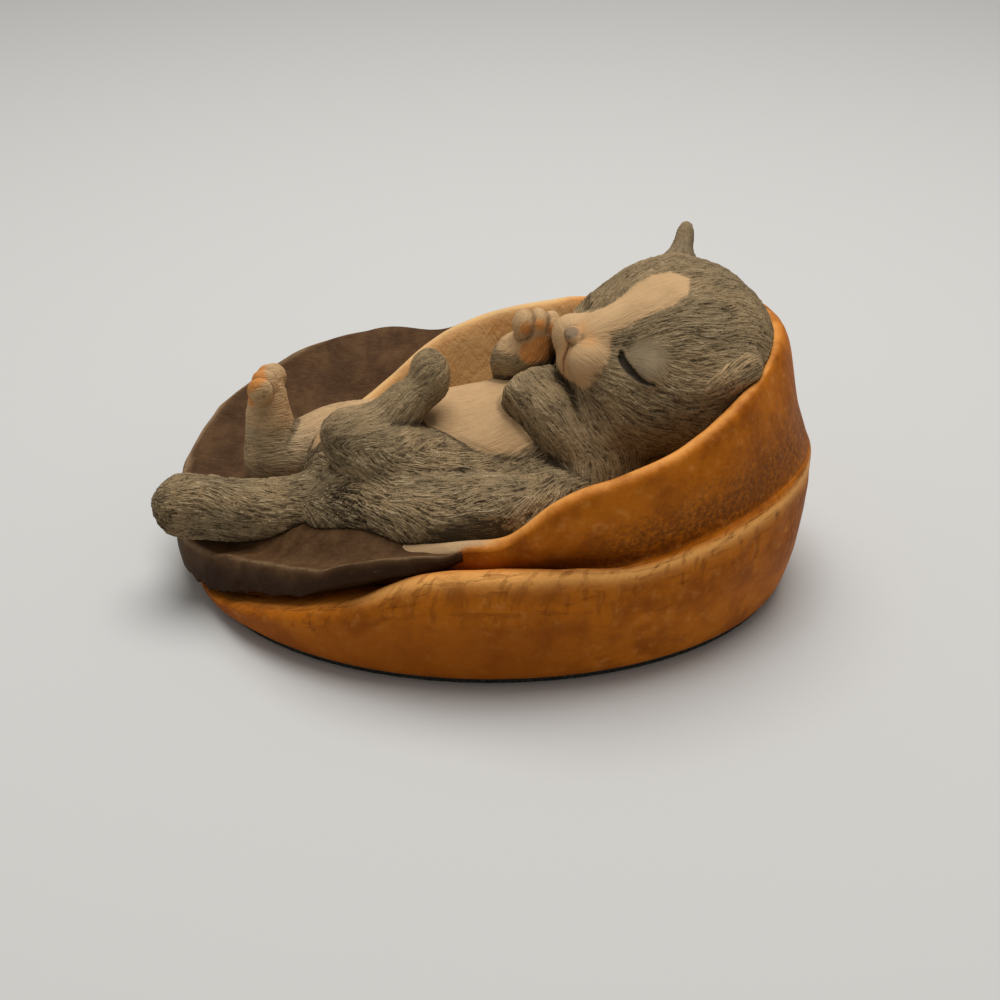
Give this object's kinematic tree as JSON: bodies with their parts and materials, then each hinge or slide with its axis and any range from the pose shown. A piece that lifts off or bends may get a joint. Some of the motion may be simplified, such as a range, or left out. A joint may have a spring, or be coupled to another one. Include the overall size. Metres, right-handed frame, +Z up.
{
  "type": "kitten figurine",
  "caption": "Tabletop figurine of a kitten asleep on its back in an upturned cloth cap with a leather peak, painted resin on a felt pad.",
  "frame": {"origin": "on the underside of the felt pad, near its middle", "axes": "+X from the kitten's tail to its head, +Z up, -Y to the side that is shown"},
  "size_m": [0.1021, 0.0754, 0.0519],
  "materials": {
    "felt": "matt dark green-grey felt",
    "cap_cloth": "resin painted ochre with a brown wash, satin",
    "brim_leather": "resin painted mottled dark brown, satin",
    "fur": "resin carved as fur, grey-brown with a dark wash, matt",
    "pale_fur": "resin painted cream, matt"
  },
  "bodies": {
    "root": {"felt_pad": "felt", "cap_crown": "cap_cloth", "cap_brim": "brim_leather", "torso": "fur", "head": "fur", "left_ear": "fur", "right_ear": "fur", "left_foreleg": "fur", "right_foreleg": "fur", "left_hind_leg": "fur", "right_hind_leg": "pale_fur", "tail": "fur"}
  },
  "joints": []
}
